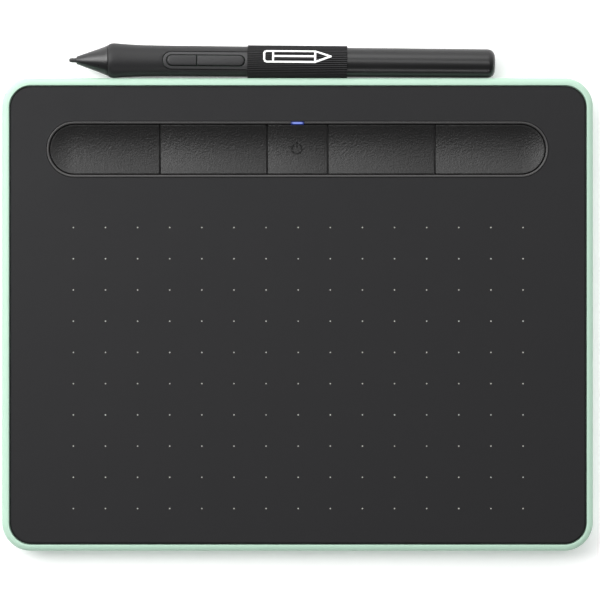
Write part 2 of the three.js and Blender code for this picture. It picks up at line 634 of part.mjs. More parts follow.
function penElectronics() {
  const ferrite = cut(rod(9, 20, 1.9, SMALL_SIDES), rod(8, 21, 1.0, SMALL_SIDES));
  const coil = cut(rod(10.5, 18.5, 2.7, SMALL_SIDES), rod(9, 20, 2.05, SMALL_SIDES));
  const sensor = cut(rod(20.4, 26.9, 3.4, 24), rod(20, 25, 1.0, SMALL_SIDES));
  const { x0, x1, halfY, bottom, top } = PEN_BOARD;
  const chassis = cut(rod(27.5, 75, 3.7, 24), rod(27, 76, 2.9, 24), box([20, -5, bottom - 0.15], [80, 5, 5]));
  const tact = (name, x) =>
    part(
      name,
      box([x - TACT.length / 2, -TACT.halfY, top], [x + TACT.length / 2, TACT.halfY, TACT.top]),
      MATERIAL.chip,
    );
  return [
    part("pen_ferrite", ferrite, MATERIAL.ferrite),
    part("pen_coil", coil, MATERIAL.copper),
    part("pen_pressure_sensor", sensor, MATERIAL.steel),
    part("pen_chassis", chassis, MATERIAL.chip),
    part("pen_board", box([x0, -halfY, bottom], [x1, halfY, top]), MATERIAL.circuit),
    tact("pen_tact_front", TACT.front),
    tact("pen_tact_rear", TACT.rear),
  ];
}

/** The rear half of the barrel, which pulls off to show the spare nibs. */
function rearBarrel() {
  const cornerX = PEN_END - REAR.cornerR;
  const endR = 4.9;
  const corner = [0, 0.25, 0.5, 0.75, 1].map((t) => [
    cornerX + REAR.cornerR * Math.sin((t * Math.PI) / 2),
    endR - REAR.cornerR * (1 - Math.cos((t * Math.PI) / 2)),
  ]);
  const outside = [[REAR.start, 0], [REAR.start, 5.06], [97, 5.0], ...corner, [PEN_END, 0]];
  return part("pen_rear_barrel", cut(turned(outside), rod(76, REAR.boreEnd, REAR.boreR)), MATERIAL.pen);
}

/** The plug in the barrel's neck that carries the spare nibs. */
function nibHolder() {
  let holder = join(
    rod(HOLDER.start, HOLDER.shoulder + 1, HOLDER.plugR, 24),
    rod(HOLDER.shoulder, HOLDER.end, HOLDER.r, 24),
  );
  const meshes = [];
  for (let i = 0; i < HOLDER.holes; i++) {
    const angle = Math.PI / 2 + (i * 2 * Math.PI) / HOLDER.holes;
    const [y, z] = [HOLDER.ring * Math.cos(angle), HOLDER.ring * Math.sin(angle)];
    holder = cut(holder, rod(SPARE_NIB_START - 0.3, HOLDER.end + 1, HOLDER.holeR, 12).translate(0, y, z));
    const spare = nib(`spare_nib_${i + 1}`, SPARE_NIB_START);
    spare.position.set(0, y, z);
    meshes.push(spare);
  }
  return [part("nib_holder", holder, MATERIAL.chip), ...meshes];
}

function pen() {
  const group = penPlacement();
  const { start, split, end, gap } = SIDE_KEY;
  group.add(
    nib("pen_nib", NIB.tip),
    noseCone(),
    frontBarrel(),
    switchBezel(),
    sideKey("pen_switch_front", start, split - gap / 2, TACT.front),
    sideKey("pen_switch_rear", split + gap / 2, end, TACT.rear),
    ...penElectronics(),
    rearBarrel(),
    ...nibHolder(),
  );
  return group;
}

// ---- Pen loop ----
/** The fabric loop: a sleeve round the pen that narrows to a tail, which passes through the rear wall. */
function penLoop(placement) {
  const onPen = (shape) => shape.applyMatrix4(placement.matrix);
  const halfX = (LOOP.x1 - LOOP.x0) / 2;
  const rear = CASE.halfY;
  const drop = new THREE.Shape([
    new THREE.Vector2(rear - 0.4, LOOP.tailBottom),
    new THREE.Vector2(rear + 1.4, 2.3),
    new THREE.Vector2(rear + 1.4, 8.5),
    new THREE.Vector2(rear - 0.4, LOOP.tailTop),
  ]);
  const tail = box([-halfX, LOOP.tailEnd, LOOP.tailBottom], [halfX, rear, LOOP.tailTop]);
  const holes = [-1, 1].map((side) => post(side * CLAMP.screwX, CLAMP.screwY, 4, 6, 1, 12));
  const loop = cut(
    join(onPen(rod(LOOP.x0, LOOP.x1, LOOP.outerR)), extrudedAlongX(drop, -halfX, halfX), tail),
    onPen(rod(LOOP.x0 - 2, LOOP.x1 + 2, LOOP.innerR)),
    ...holes,
  );
  return part("pen_loop", loop, MATERIAL.fabric);
}

function loopClamp() {
  const { halfX, y0, y1, bottom, top, screwX, screwY, headR } = CLAMP;
  const seat = top - 0.85;
  let bar = solid(box([-halfX, y0, bottom], [halfX, y1, top]));
  const screws = [];
  for (const [name, side] of [["left", -1], ["right", 1]]) {
    const x = side * screwX;
    bar = cut(bar, post(x, screwY, seat, 8, headR + 0.2), post(x, screwY, 5, 8, 1, 12));
    const shape = screw({ headR, headH: 0.75, shankR: 0.75, length: 2.9, driveHalf: 0.9 });
    const mesh = part(`clamp_screw_${name}`, shape, MATERIAL.steel);
    mesh.rotation.x = Math.PI;
    mesh.position.set(side * screwX, screwY, top - 0.05);
    screws.push(mesh);
  }
  return [part("loop_clamp", bar, MATERIAL.chip), ...screws];
}

// ---- Assembly ----
const heldPen = pen();
const tablet = new THREE.Group();
tablet.position.y = -(PEN_GAP + 2 * PEN_BULGE.r) / 2;
tablet.add(
  baseShell(),
  topCover(),
  keyFrame(),
  ...keyStrip(),
  ...statusLight(),
  ...keySwitches(),
  ...boards(),
  usbSocket(),
  ...battery(),
  sensorRibbon(),
  penLoop(heldPen),
  ...loopClamp(),
  ratingLabel(),
  heldPen,
);
for (const [corner, signs] of Object.entries(CORNERS)) {
  tablet.add(rubberFoot(corner, signs), caseScrew(corner, signs));
}

const assembly = new THREE.Group();
assembly.add(tablet);

export default assembly;
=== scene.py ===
"""A small pen drawing tablet with its pen held behind the rear edge by a fabric loop.

Shapes are drawn in millimetres, heights above the desk, and turned into metres when they are placed.
TABLET carries tablet coordinates into the frame, and PEN carries the pen's own axis (X from the nib) there.
"""
import math

import bmesh
import bpy
from mathutils import Matrix, Vector


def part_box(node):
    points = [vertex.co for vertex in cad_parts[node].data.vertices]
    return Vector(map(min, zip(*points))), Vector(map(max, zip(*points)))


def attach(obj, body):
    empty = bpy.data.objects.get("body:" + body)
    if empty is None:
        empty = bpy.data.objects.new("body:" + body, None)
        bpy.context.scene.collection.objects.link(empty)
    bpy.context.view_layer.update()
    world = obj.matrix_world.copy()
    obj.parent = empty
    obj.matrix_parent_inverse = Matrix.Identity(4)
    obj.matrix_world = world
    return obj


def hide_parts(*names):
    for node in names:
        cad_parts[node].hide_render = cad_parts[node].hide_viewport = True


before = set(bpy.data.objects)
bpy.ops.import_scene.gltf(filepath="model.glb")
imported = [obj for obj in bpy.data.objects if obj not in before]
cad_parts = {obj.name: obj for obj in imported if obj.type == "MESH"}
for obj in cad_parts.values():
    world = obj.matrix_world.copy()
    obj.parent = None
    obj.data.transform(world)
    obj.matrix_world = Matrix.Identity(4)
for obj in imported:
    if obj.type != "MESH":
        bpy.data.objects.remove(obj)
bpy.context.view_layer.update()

# ---- Dimensions, mm ----
CASE = (100.0, 80.0, 9.8)  # half width, half depth, corner radius
RIM_WIDTH = 2.3
PANEL_EDGE = 2.67  # from the case's side to the panel's
PANEL_TOP = 8.7
PANEL_SHIFT = (0.17, -0.19)  # the panel and the rim's inner edge, from the case's middle
DOT_GRID = (15, 10, 152.0, 95.0, 0.25, -18.1)  # columns, rows, width, depth, middle x and y
DOT_R = 0.24

STRIP_Y = 55.85
SPINE_HALF = 75.4  # the key strip's straight middle line, from its middle to an end
KEY_R = 8.3
KEY_DISH = 1.45  # how deep the keys are dished
KEY_LOW = 6.7  # the dish's lowest height
KEY_GAP = 0.52
KEY_FLANGE = (8.85, 5.5, 6.5)  # radius, bottom, top
KEY_SPLITS = (-90.0, -46.5, -10.25, 10.25, 46.5, 90.0)  # gaps along X; the outer two lie past the strip
KEY_NAMES = ("express_key_1", "express_key_2", "power_key", "express_key_3", "express_key_4")
SWITCH_XS = (-64.0, -28.4, 0.0, 28.4, 64.0)
WINDOW = (2.25, 0.54, 0.45)  # the status window: half width, half depth, corner radius
WINDOW_Y = STRIP_Y + 8.86

FOOT = (10.0, 4.0, 4.0)  # half width, half depth, corner radius
FOOT_AT = (82.0, 68.5)
SCREW_AT = (86.0, 68.5)
LABEL_SIZE = (30.2, 11.2, 1.6)  # half width, half depth, corner radius
LABEL_Y = -14.0
SOCKET_Z = 5.05

PEN_START_X = -76.9
PEN_WIDEST = (15.1, 5.9)  # place along the pen, radius
PEN_NARROW = (140.0, 4.92)
PEN_CLEARANCE = 0.1
NOSE = (2.05, 12.7)  # start and end along the pen
FRONT = (12.85, 76.9)
REAR_START = 77.1
PEN_END = 143.8
NIB_START = -0.5
NIB_R = 0.8
NIB_LENGTH = 24.5
SPARE_NIBS = (83.0, 2.2)  # start along the pen, distance from its axis
# The side switch's two halves: name, both ends along the pen, and the place of the post under each.
SIDE_KEYS = (("pen_switch_front", 32.8, 42.75, 37.8), ("pen_switch_rear", 43.05, 59.0, 51.0))

LOOP_X = (60.0, 93.7)  # along the pen
LOOP_WIDTH = LOOP_X[1] - LOOP_X[0]
LOOP_MIDDLE = (LOOP_X[0] + LOOP_X[1]) / 2
LOOP_INNER = 5.26
LOOP_OUTER = 5.58
LOOP_THICKNESS = 0.27
LOOP_MOUTH = 0.42  # half the opening between the ends of the loop's round part
TAIL_Y = (70.0, 78.9)  # the tails' inner ends, and where they leave the wall
TAIL_Z = (5.36, 4.94)  # the upper and the lower tail
RIB_DEPTH = 0.16

CORNER_STEPS = 16
STRIP_STEPS = 24
PEN_SIDES = 96
NIB_SIDES = 32
DOT_SIDES = 12
KEY_STEPS = 20
TAIL_STEPS = 10
LOOP_STEPS = 300
RIB_STEPS = 6  # steps of the loop's line to a rib

TABLET = Matrix.Translation((0, -5.95, 0))


def pen_matrix():
    """The pen's place, lying along the case's rear edge and the desk with a small clearance from each.

    Its widest ring and its narrow end keep the clearance from the case, and its widest ring and the loop
    keep it from the desk.
    """
    widest_x, widest_r = PEN_WIDEST
    narrow_x, narrow_r = PEN_NARROW
    slope_y = (widest_r - narrow_r) / (narrow_x - widest_x)
    slope_z = (widest_r - LOOP_OUTER) / (LOOP_X[1] - widest_x)
    axis = Vector((math.sqrt(1 - slope_y**2 - slope_z**2), -slope_y, -slope_z))
    offset = PEN_CLEARANCE + widest_r
    start = Vector((0, CASE[1] + offset, offset)) - axis * widest_x
    start.x = PEN_START_X
    turn = Vector((1, 0, 0)).rotation_difference(axis)
    return TABLET @ Matrix.Translation(start) @ turn.to_matrix().to_4x4()


PEN = pen_matrix()


# ---- Mesh tools ----
def link(obj):
    bpy.context.scene.collection.objects.link(obj)
    return obj


def make(name, points, faces):
    mesh = bpy.data.meshes.new(name)
    mesh.from_pydata([tuple(p) for p in points], [], faces)
    mesh.validate()
    return link(bpy.data.objects.new(name, mesh))


def outward(obj):
    """Turns a closed object's faces outwards."""
    work = bmesh.new()
    work.from_mesh(obj.data)
    bmesh.ops.recalc_face_normals(work, faces=work.faces)
    work.to_mesh(obj.data)
    work.free()
    return obj


def bake_modifiers(obj):
    """Replaces an object's mesh with the result of its modifiers."""
    bpy.context.view_layer.update()
    graph = bpy.context.evaluated_depsgraph_get()
    made = bpy.data.meshes.new_from_object(obj.evaluated_get(graph))
    old = obj.data
    obj.modifiers.clear()
    obj.data = made
    bpy.data.meshes.remove(old)


def discard(obj):
    mesh = obj.data
    bpy.data.objects.remove(obj)
    bpy.data.meshes.remove(mesh)


def boolean(obj, operation, *tools):
    """Cuts, joins or intersects an object with each tool in turn, and uses the tools up."""
    for tool in tools:
        modifier = obj.modifiers.new("boolean", "BOOLEAN")
        modifier.operation = operation
        modifier.solver = "EXACT"
        modifier.object = tool
        bake_modifiers(obj)
        discard(tool)
    return obj


def cut(obj, *tools):
    return boolean(obj, "DIFFERENCE", *tools)


def overlap(obj, tool):
    return boolean(obj, "INTERSECT", tool)


def join(obj, *tools):
    return boolean(obj, "UNION", *tools)


def block(low, high):
    """A cutting tool: a box between two corners."""
    xs, ys, zs = zip(low, high)
    points = [(x, y, z) for x in xs for y in ys for z in zs]
    faces = [(0, 1, 3, 2), (4, 6, 7, 5), (0, 4, 5, 1), (2, 3, 7, 6), (0, 2, 6, 4), (1, 5, 7, 3)]
    return make("tool", points, faces)


def swept(name, rectangle, section, closed=False, steps=CORNER_STEPS, place=(0, 0, 0)):
    """A section of (offset, z) points taken round a rounded rectangle (half x, half y, corner radius)."""
    half_x, half_y, radius = rectangle
    points = []
    for offset, z in section:
        r = radius + offset
        for corner, (sx, sy) in enumerate(((1, 1), (-1, 1), (-1, -1), (1, -1))):
            for step in range(steps + 1):
                angle = (corner + step / steps) * math.pi / 2
                x = sx * (half_x - radius) + r * math.cos(angle)
                y = sy * (half_y - radius) + r * math.sin(angle)
                points.append((x + place[0], y + place[1], z + place[2]))
    sides = 4 * (steps + 1)
    rings = len(section)
    faces = []
    for ring in range(rings if closed else rings - 1):
        here, above = ring * sides, ((ring + 1) % rings) * sides
        for i in range(sides):
            j = (i + 1) % sides
            faces.append((here + i, here + j, above + j, above + i))
    if not closed:
        faces.append(tuple(range(sides - 1, -1, -1)))
        faces.append(tuple(range((rings - 1) * sides, rings * sides)))
    return make(name, points, faces)


def stadium(name, section, place=(0, STRIP_Y, 0), half=SPINE_HALF, closed=False, steps=CORNER_STEPS):
    """A section of (distance from the spine, z) points taken round a straight spine along X."""
    reach = max(r for r, _ in section)
    rectangle = (half + reach, reach, reach)
    return swept(name, rectangle, [(r - reach, z) for r, z in section], closed, steps, place)


def turned(name, profile, sides=PEN_SIDES):
    """A profile of (x, r) points turned round the X axis. Ends at r 0 close the solid."""
    points, rings = [], []
    for x, r in profile:
        if r < 1e-6:
            rings.append([len(points)])
            points.append((x, 0, 0))
        else:
            rings.append(list(range(len(points), len(points) + sides)))
            for i in range(sides):
                angle = 2 * math.pi * i / sides
                points.append((x, r * math.cos(angle), r * math.sin(angle)))
    faces = []
    closed = len(rings[0]) > 1
    for a, b in zip(rings, rings[1:] + (rings[:1] if closed else [])):
        for i in range(sides):
            j = (i + 1) % sides
            if len(a) == 1:
                faces.append((a[0], b[j], b[i]))
            elif len(b) == 1:
                faces.append((a[i], a[j], b[0]))
            else:
                faces.append((a[i], a[j], b[j], b[i]))
    return make(name, points, faces)


def smooth_line(points, steps=6):
    """Points on a Catmull-Rom curve through the given points."""
    line = []
    for k in range(len(points) - 1):
        p0 = Vector(points[max(k - 1, 0)])
        p1, p2 = Vector(points[k]), Vector(points[k + 1])
        p3 = Vector(points[min(k + 2, len(points) - 1)])
        for step in range(steps):
            t = step / steps
            a = 2 * p1 + (p2 - p0) * t
            b = (2 * p0 - 5 * p1 + 4 * p2 - p3) * t**2
            c = (3 * p1 - p0 - 3 * p2 + p3) * t**3
            line.append(tuple((a + b + c) / 2))
    return line + [tuple(points[-1])]


def arc(centre, r, start, end, steps=8):
    """Points of an arc, in degrees, round a centre."""
    angles = [math.radians(start + (end - start) * i / steps) for i in range(steps + 1)]
    return [(centre[0] + r * math.cos(a), centre[1] + r * math.sin(a)) for a in angles]


def slot_tool(x0, x1, half_width, z0, z1):
    """A cutting tool: a slab with round ends along X."""
    middle, half = (x0 + x1) / 2, (x1 - x0) / 2 - half_width
    return stadium("tool", [(half_width, z0), (half_width, z1)], (middle, 0, 0), half)


def post_tool(x, y, z0, z1, r):
    """A tool: an upright round post, which is a stadium with almost no straight part."""
    return stadium("tool", [(r, z0), (r, z1)], (x, y, 0), 0.001, steps=8)


def soften(obj, width, segments=3, angle=30.0):
    """Rounds an object's sharp edges and shades the rest smoothly."""
    outward(obj)
    if width:
        modifier = obj.modifiers.new("bevel", "BEVEL")
        modifier.width = width
        modifier.segments = segments
        modifier.limit_method = "ANGLE"
        modifier.angle_limit = math.radians(angle)
        modifier.use_clamp_overlap = True
        modifier.miter_outer = "MITER_ARC"
        bake_modifiers(obj)
    obj.data.shade_smooth()
    obj.data.set_sharp_from_angle(angle=math.radians(max(angle, 32.0)))
    return obj


def level_flats(obj):
    """Keeps the shading of large flat faces level, up to their rounded edges."""
    modifier = obj.modifiers.new("normals", "WEIGHTED_NORMAL")
    modifier.mode = "FACE_AREA"
    modifier.weight = 80
    modifier.keep_sharp = True


def put(obj, matrix, body, slot, material, *nodes):
    """Places a finished piece in the frame, in metres, on its body, in place of the nodes it stands for."""
    obj.data.transform(Matrix.Scale(0.001, 4) @ matrix)
    obj.data.materials.clear()
    obj.data.materials.append(material)
    if not obj.data.polygons[0].use_smooth:
        obj.data.shade_smooth()
        obj.data.set_sharp_from_angle(angle=math.radians(32))
    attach(obj, body)
    if nodes:
        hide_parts(*nodes)


# ---- Materials ----
def srgb(*channels):
    """A linear colour from 0-255 screen values."""
    linear = [c / 255 / 12.92 if c <= 10 else ((c / 255 + 0.055) / 1.055) ** 2.4 for c in channels]
    return (*linear, 1.0)


def shade(colour, factor):
    return (*(min(1.0, c * factor) for c in colour[:3]), 1.0)


class Nodes:
    """A material's node tree, with short calls for what the materials share."""

    def __init__(self, name):
        self.material = bpy.data.materials.new(name)
        self.material.use_nodes = True
        self.tree = self.material.node_tree
        self.tree.nodes.clear()
        self.shader = self.tree.nodes.new("ShaderNodeBsdfPrincipled")
        output = self.tree.nodes.new("ShaderNodeOutputMaterial")
        self.link(self.shader.outputs[0], output.inputs[0])
        self.place = self.tree.nodes.new("ShaderNodeTexCoord").outputs["Object"]

    def link(self, output, target):
        self.tree.links.new(output, target)

    def set(self, **values):
        for key, value in values.items():
            self.shader.inputs[key.replace("_", " ")].default_value = value
        return self

    def stretch(self, scale):
        """Object coordinates multiplied by a scale for each axis."""
        node = self.tree.nodes.new("ShaderNodeMapping")
        node.inputs["Scale"].default_value = scale
        self.link(self.place, node.inputs["Vector"])
        return node.outputs[0]

    def noise(self, scale, detail=3.0, rough=0.55, where=None):
        node = self.tree.nodes.new("ShaderNodeTexNoise")
        node.inputs["Scale"].default_value = scale
        node.inputs["Detail"].default_value = detail
        node.inputs["Roughness"].default_value = rough
        self.link(where or self.place, node.inputs["Vector"])
        return node.outputs["Fac"]

    def cells(self, scale):
        node = self.tree.nodes.new("ShaderNodeTexVoronoi")
        node.feature = "SMOOTH_F1"
        node.inputs["Scale"].default_value = scale
        self.link(self.place, node.inputs["Vector"])
        return node.outputs["Distance"]

    def wave(self, scale, distortion=0.0):
        """Bands across X."""
        node = self.tree.nodes.new("ShaderNodeTexWave")
        node.bands_direction = "X"
        node.inputs["Scale"].default_value = scale
        node.inputs["Distortion"].default_value = distortion
        self.link(self.place, node.inputs["Vector"])
        return node.outputs["Fac"]

    def ramp(self, value, *stops):
        """Colours or grey levels along a value, as (position, value) stops."""
        node = self.tree.nodes.new("ShaderNodeValToRGB")
        elements = node.color_ramp.elements
        while len(elements) < len(stops):
            elements.new(0.5)
        for element, (position, level) in zip(elements, stops):
            element.position = position
            element.color = level if isinstance(level, tuple) else (level, level, level, 1)
        self.link(value, node.inputs["Fac"])
        return node.outputs["Color"]

    def math(self, operation, a, b):
        node = self.tree.nodes.new("ShaderNodeMath")
        node.operation = operation
        for socket, value in zip(node.inputs, (a, b)):
            if isinstance(value, (int, float)):
                socket.default_value = value
            else:
                self.link(value, socket)
        return node.outputs[0]

    def sum(self, a, share_a, b, share_b):
        """The sum of two values, each multiplied by its share."""
        return self.math("ADD", self.math("MULTIPLY", a, share_a), self.math("MULTIPLY", b, share_b))

    def colour(self, output):
        self.link(output, self.shader.inputs["Base Color"])

    def roughness(self, output):
        self.link(output, self.shader.inputs["Roughness"])

    def bump(self, height, distance):
        """Adds surface relief; distance is its depth in metres."""
        node = self.tree.nodes.new("ShaderNodeBump")
        node.inputs["Distance"].default_value = distance
        node.inputs["Strength"].default_value = 1.0
        self.link(height, node.inputs["Height"])
        self.link(node.outputs[0], self.shader.inputs["Normal"])


def moulded(name, colour, rough, grain, depth, contrast=0.08, spread=0.08, **values):
    """Moulded plastic or rubber: fine grain, a little unevenness in colour and gloss."""
    nodes = Nodes(name).set(**values)
    fine = nodes.noise(grain, 2.0)
    wide = nodes.noise(55.0, 4.0)
    mixed = nodes.sum(fine, 0.6, wide, 0.4)
    nodes.colour(nodes.ramp(mixed, (0.3, shade(colour, 1 - contrast)), (0.7, shade(colour, 1 + contrast))))
    nodes.roughness(nodes.ramp(wide, (0.3, rough - spread), (0.7, rough + spread)))
    nodes.bump(fine, depth)
    return nodes.material


def pen_satin(name, level, rough, grain, depth, gloss, contrast=0.08, spread=0.05):
    """The pen's dark plastic; level is its grey on screen, gloss its specular level."""
    colour = srgb(level, level, level + 1)
    return moulded(name, colour, rough, grain, depth, contrast, spread, Specular_IOR_Level=gloss)


def key_plastic():
    """Spark-eroded plastic with a pebbled, leather-like relief."""
    nodes = Nodes("key_plastic").set(Specular_IOR_Level=0.42)
    pebbles = nodes.cells(1800.0)
    grain = nodes.noise(4200.0, 3.0, 0.7)
    relief = nodes.sum(pebbles, 0.9, grain, 0.8)
    nodes.colour(nodes.ramp(relief, (0.45, srgb(8, 8, 8)), (1.0, srgb(18, 17, 17))))
    nodes.roughness(nodes.ramp(grain, (0.3, 0.31), (0.7, 0.42)))
    nodes.bump(relief, 0.0001)
    return nodes.material


def elastic_fabric():
    """Woven elastic: ribs along X with a fine weft across them and a little fuzz. Its colour is darker in
    the grooves between the ribs as painted shade and lighter on their crests as a painted highlight.
    """
    nodes = Nodes("loop_elastic").set(Specular_IOR_Level=0.15)
    weft = nodes.wave(900.0, 1.2)
    fuzz = nodes.noise(5200.0, 4.0, 0.7)
    relief = nodes.sum(weft, 0.5, fuzz, 0.7)
    ribs = nodes.tree.nodes.new("ShaderNodeAttribute")
    ribs.attribute_name = "rib_painted_shade"
    # Painted shade in the grooves between the ribs and a painted highlight on their crests, from each
    # point's rib height.
    painted_rib_light = nodes.ramp(ribs.outputs["Fac"], (0.45, 0.0), (0.9, 1.0))
    threads = nodes.ramp(relief, (0.3, 0.35), (0.85, 1.0))
    threads_and_painted_rib_light = nodes.math("MULTIPLY", painted_rib_light, threads)
    nodes.colour(nodes.ramp(threads_and_painted_rib_light, (0.0, srgb(2, 2, 2)), (1.0, srgb(66, 66, 67))))
    nodes.roughness(nodes.ramp(fuzz, (0.3, 0.7), (0.7, 0.9)))
    nodes.bump(relief, 0.00008)
    return nodes.material


def drawn_steel():
    """Metal with fine drawn lines along X."""
    nodes = Nodes("drawn_steel").set(Metallic=1.0)
    colour, rough = srgb(190, 193, 197), 0.32
    lines = nodes.noise(1.0, 3.0, 0.6, nodes.stretch((60.0, 9000.0, 9000.0)))
    nodes.colour(nodes.ramp(lines, (0.3, shade(colour, 0.86)), (0.7, shade(colour, 1.1))))
    nodes.roughness(nodes.ramp(lines, (0.3, rough - 0.08), (0.7, rough + 0.12)))
    nodes.bump(lines, 0.00001)
    return nodes.material


def solder_mask():
    """Green solder mask over copper tracks."""
    nodes = Nodes("solder_mask").set(Coat_Weight=0.4, Coat_Roughness=0.2)
    tracks = nodes.wave(420.0, 6.0)
    grain = nodes.noise(1800.0, 2.0)
    level = nodes.ramp(tracks, (0.42, 0.0), (0.5, 1.0))
    nodes.colour(nodes.ramp(level, (0.0, srgb(18, 74, 48)), (1.0, srgb(34, 104, 66))))
    nodes.roughness(nodes.ramp(grain, (0.3, 0.35), (0.7, 0.5)))
    nodes.bump(level, 0.00003)
    return nodes.material


def pouch_foil():
    """A pouch cell's laminated foil, faintly wrinkled."""
    nodes = Nodes("pouch_foil").set(Metallic=0.7)
    creases = nodes.noise(240.0, 5.0, 0.6)
    nodes.colour(nodes.ramp(creases, (0.3, srgb(168, 172, 178)), (0.7, srgb(205, 208, 212))))
    nodes.roughness(nodes.ramp(creases, (0.3, 0.28), (0.7, 0.45)))
    nodes.bump(creases, 0.0002)
    return nodes.material


def wound_copper():
    """Enamelled copper wire wound round X."""
    nodes = Nodes("wound_copper").set(Metallic=0.9)
    turns = nodes.wave(1100.0)
    nodes.colour(nodes.ramp(turns, (0.1, srgb(120, 58, 26)), (0.9, srgb(205, 122, 66))))
    nodes.roughness(nodes.ramp(turns, (0.1, 0.5), (0.9, 0.28)))
    nodes.bump(turns, 0.00008)
    return nodes.material


def glowing_window():
    """The status light: a milky blue window that glows, brightest in its middle."""
    nodes = Nodes("status_lens").set(Roughness=0.35, Specular_IOR_Level=0.3)
    split = nodes.tree.nodes.new("ShaderNodeSeparateXYZ")
    nodes.link(nodes.place, split.inputs[0])
    middle_y = WINDOW_Y / 1000 + TABLET.translation.y / 1000
    half_glow_x, half_glow_y = 0.0021, 0.0004  # metres
    along = nodes.math("ABSOLUTE", nodes.math("MULTIPLY", split.outputs[0], 1 / half_glow_x), 0.0)
    across = nodes.math("MULTIPLY", nodes.math("SUBTRACT", split.outputs[1], middle_y), 1 / half_glow_y)
    across = nodes.math("ABSOLUTE", across, 0.0)
    milk = nodes.noise(900.0, 2.0)
    fade = nodes.math("ADD", nodes.math("POWER", along, 5.0), nodes.math("POWER", across, 3.0))
    fade = nodes.math("ADD", fade, nodes.math("MULTIPLY", milk, 0.1))
    nodes.colour(nodes.ramp(fade, (0.1, srgb(60, 70, 110)), (0.8, srgb(10, 20, 60))))
    glow = nodes.ramp(fade, (0.12, srgb(130, 150, 236)), (0.75, srgb(8, 28, 100)))
    nodes.link(glow, nodes.shader.inputs["Emission Color"])
    nodes.set(Emission_Strength=0.8)
    return nodes.material


MINT = moulded("mint_shell", srgb(176, 207, 188), 0.42, 2600.0, 0.00001, 0.02, 0.05)
PANEL = moulded("panel_film", srgb(20, 20, 22), 0.55, 5200.0, 0.00002, 0.1, 0.04, Specular_IOR_Level=0.3)
DOTS = moulded("printed_dots", srgb(176, 176, 170), 0.6, 4000.0, 0.000004)
KEYS = key_plastic()
BEZEL = moulded("bezel_plastic", srgb(52, 51, 51), 0.44, 4200.0, 0.00001, 0.06, 0.05)
LENS = glowing_window()
PEN_GRIP = pen_satin("pen_soft_satin", 34, 0.47, 3600.0, 0.000016, 0.32)
PEN_TAIL = pen_satin("pen_barrel_satin", 20, 0.31, 3600.0, 0.00001, 0.5, spread=0.03)
PEN_CONE = pen_satin("pen_cone_satin", 24, 0.3, 3000.0, 0.00005, 0.6, contrast=0.12)
PEN_PLATE = pen_satin("pen_plate_satin", 60, 0.5, 3600.0, 0.000012, 0.3)
PEN_KEYS = pen_satin("pen_switch_plastic", 50, 0.5, 3600.0, 0.000012, 0.3)
NIB = moulded("nib_plastic", srgb(36, 36, 37), 0.42, 5200.0, 0.000006)
ELASTIC = elastic_fabric()
PRINT = moulded("loop_print", srgb(246, 246, 244), 0.55, 5200.0, 0.00002, 0.02, 0.04)
RUBBER = moulded("foot_rubber", srgb(70, 73, 76), 0.85, 2600.0, 0.00003, 0.1, 0.06, Specular_IOR_Level=0.3)
LABEL = moulded("label_film", srgb(226, 229, 226), 0.5, 1600.0, 0.000008, 0.02, 0.05)
CHIP = moulded("chip_plastic", srgb(30, 30, 32), 0.5, 5200.0, 0.00001)
STEEL = drawn_steel()
CIRCUIT = solder_mask()
FOIL = pouch_foil()
WIRE = moulded("wire_jacket", srgb(140, 30, 26), 0.35, 2600.0, 0.00001)
RIBBON = moulded("ribbon_cable", srgb(230, 226, 214), 0.4, 2600.0, 0.00001)
COPPER = wound_copper()
FERRITE = moulded("ferrite", srgb(58, 57, 60), 0.7, 5200.0, 0.00003)
LED = moulded("led_blue", srgb(60, 70, 230), 0.25, 2600.0, 0.000005)


# ---- Case ----
CORNERS = ((-1, -1), (1, -1), (-1, 1), (1, 1))


def shell_body():
    """The tray before its cuts: flank, rounded rim, crest, and the pocket that takes the panel."""
    flank = smooth_line([(-6.0, 0.8), (-4.7, 1.15), (-2.7, 2.6), (-1.0, 4.9), (-0.2, 6.5), (0.0, 7.3)], 5)
    rim = smooth_line([(0.0, 7.3), (-0.1, 7.85), (-0.5, 8.35), (-1.15, 8.68), (-1.8, 8.8)], 5)
    crest = [(-2.12, 8.8), (-2.24, 8.78), (-RIM_WIDTH, 8.7), (-RIM_WIDTH, 7.0)]
    pocket = [(-3.9, 7.0), (-3.9, 4.2), (-5.2, 2.6), (-6.4, 2.2)]
    outside = [*flank, *rim[1:]]
    shell = swept("shell", CASE, [*outside, *crest, *pocket])
    # The crest and its inner edge are shifted with the panel.
    ring = 4 * (CORNER_STEPS + 1)
    first = len(outside) * ring
    for vertex in shell.data.vertices[first:first + len(crest) * ring]:
        vertex.co += Vector((*PANEL_SHIFT, 0))
    return outward(shell)


def socket_tool():
    """The opening for the charging socket, through the left wall."""
    radius, half_straight = 1.55, 2.55
    tool = stadium("tool", [(radius, -103), (radius, -92)], (0, 0, 0), half_straight)
    upright = Matrix(((0, 0, 1, 0), (1, 0, 0, STRIP_Y), (0, 1, 0, SOCKET_Z), (0, 0, 0, 1)))
    tool.data.transform(upright)
    return tool


def base_shell():
    """The pale tray, with a rounded rim, foot and label recesses, a socket opening and the loop's slot."""
    shell = shell_body()
    tools = []
    for sx, sy in CORNERS:
        foot_at = (sx * FOOT_AT[0], sy * FOOT_AT[1], 0)
        tools.append(swept("tool", FOOT, [(0.2, 0.0), (0.2, 1.35)], place=foot_at))
        tools.append(post_tool(sx * SCREW_AT[0], sy * SCREW_AT[1], 0.5, 3.5, 2.5))
    label_recess = swept("tool", LABEL_SIZE, [(0, 0.2), (0, 1.0)], place=(0, LABEL_Y, 0))
    loop_slot = block((-17.3, 75.5, 4.6), (17.3, 83, 5.7))
    cut(shell, *tools, label_recess, socket_tool(), loop_slot)
    level_flats(soften(shell, 0.06, 2, 48))
    put(shell, TABLET, "tablet", "shell", MINT, "base_shell")


